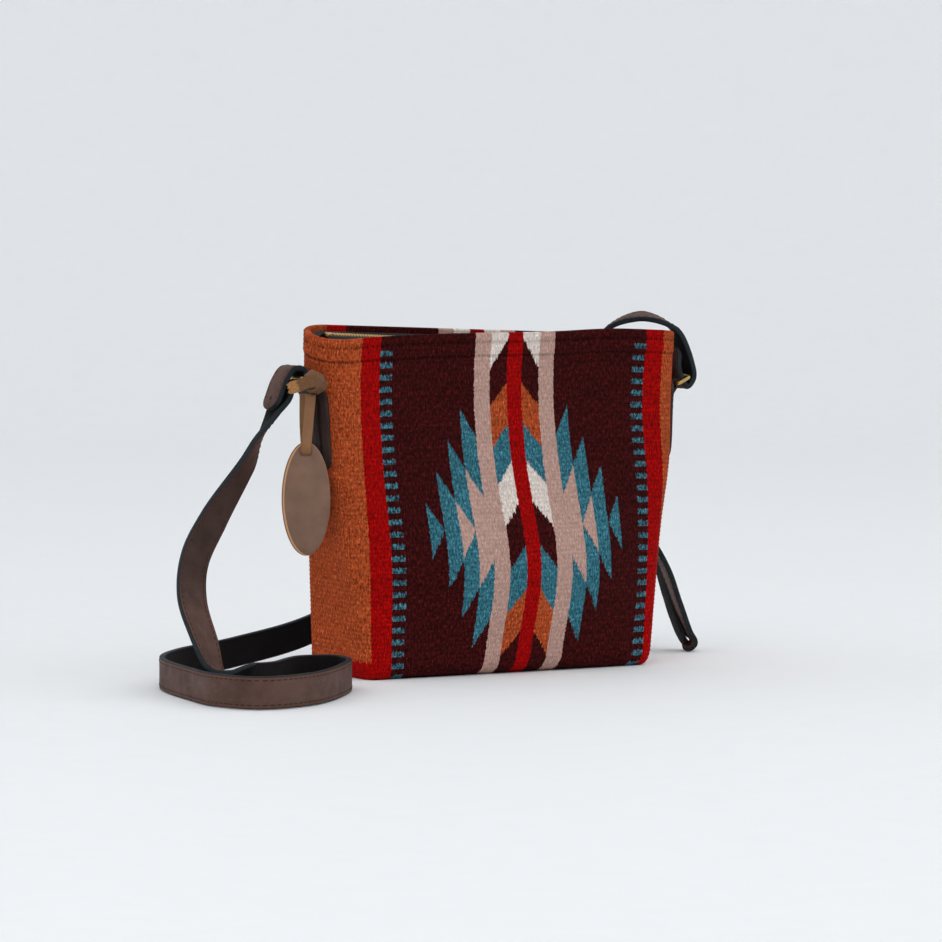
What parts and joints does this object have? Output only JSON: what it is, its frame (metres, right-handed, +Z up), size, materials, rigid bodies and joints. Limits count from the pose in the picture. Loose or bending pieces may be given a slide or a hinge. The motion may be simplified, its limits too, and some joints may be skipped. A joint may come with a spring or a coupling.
{
  "type": "woven crossbody bag",
  "caption": "Boxed hand-woven wool crossbody bag with a lined, zipped mouth, leather side tabs with metal rings, a flat leather shoulder strap and an oval leather hang tag",
  "frame": {"origin": "centre of the base on the floor, under the middle of the bag without its strap and tag", "axes": "+X to the wearer's right across the width, +Y to the back, +Z up; the patterned front faces -Y"},
  "size_m": [0.4632, 0.2753, 0.2253],
  "materials": {
    "wool": "coarse ribbed hand-woven wool in orange, red, maroon, teal and beige",
    "lining_cotton": "plain dark cotton",
    "zip_tape": "black woven tape",
    "brass": "polished brass",
    "dark_leather": "dark brown leather with painted edges and stitched rims",
    "tan_leather": "soft tan leather thong",
    "taupe_leather": "smooth taupe leather with a tan cut edge"
  },
  "bodies": {
    "bag": {"woven_body": "wool", "lining": "lining_cotton", "zip_tape_front": "zip_tape", "zip_tape_back": "zip_tape", "zip_teeth_front": "brass", "zip_teeth_back": "brass", "zip_stop_left": "brass", "zip_stop_right": "brass", "side_tab_left": "dark_leather", "side_tab_right": "dark_leather", "shoulder_strap": "dark_leather", "tag_thong": "tan_leather", "thong_knot": "tan_leather", "hang_tag": "taupe_leather"},
    "slider": {"zip_slider": "brass"},
    "pull": {"zip_pull": "brass"},
    "left_ring": {"strap_ring_left": "brass"},
    "right_ring": {"strap_ring_right": "brass"}
  },
  "joints": [
    {"name": "zip_slide", "type": "slide", "parent": "bag", "child": "slider", "axis": [-0.9967, 0.0627, 0.0523], "range_m": [0, 0.22]},
    {"name": "pull_lift", "type": "hinge", "parent": "slider", "child": "pull", "pos_m": [0.11138, -0.01387, 0.20375], "axis": [0.0694, 0.9879, 0.139], "range_deg": [0, 110]},
    {"name": "left_ring_swing", "type": "hinge", "parent": "bag", "child": "left_ring", "pos_m": [-0.13106, 0.00513, 0.1822], "axis": [0.0534, 0.9984, -0.0194], "range_deg": [-10, 10]},
    {"name": "right_ring_swing", "type": "hinge", "parent": "bag", "child": "right_ring", "pos_m": [0.13105, -0.00885, 0.1791], "axis": [-0.0533, -0.9973, -0.0505], "range_deg": [-10, 10]}
  ]
}
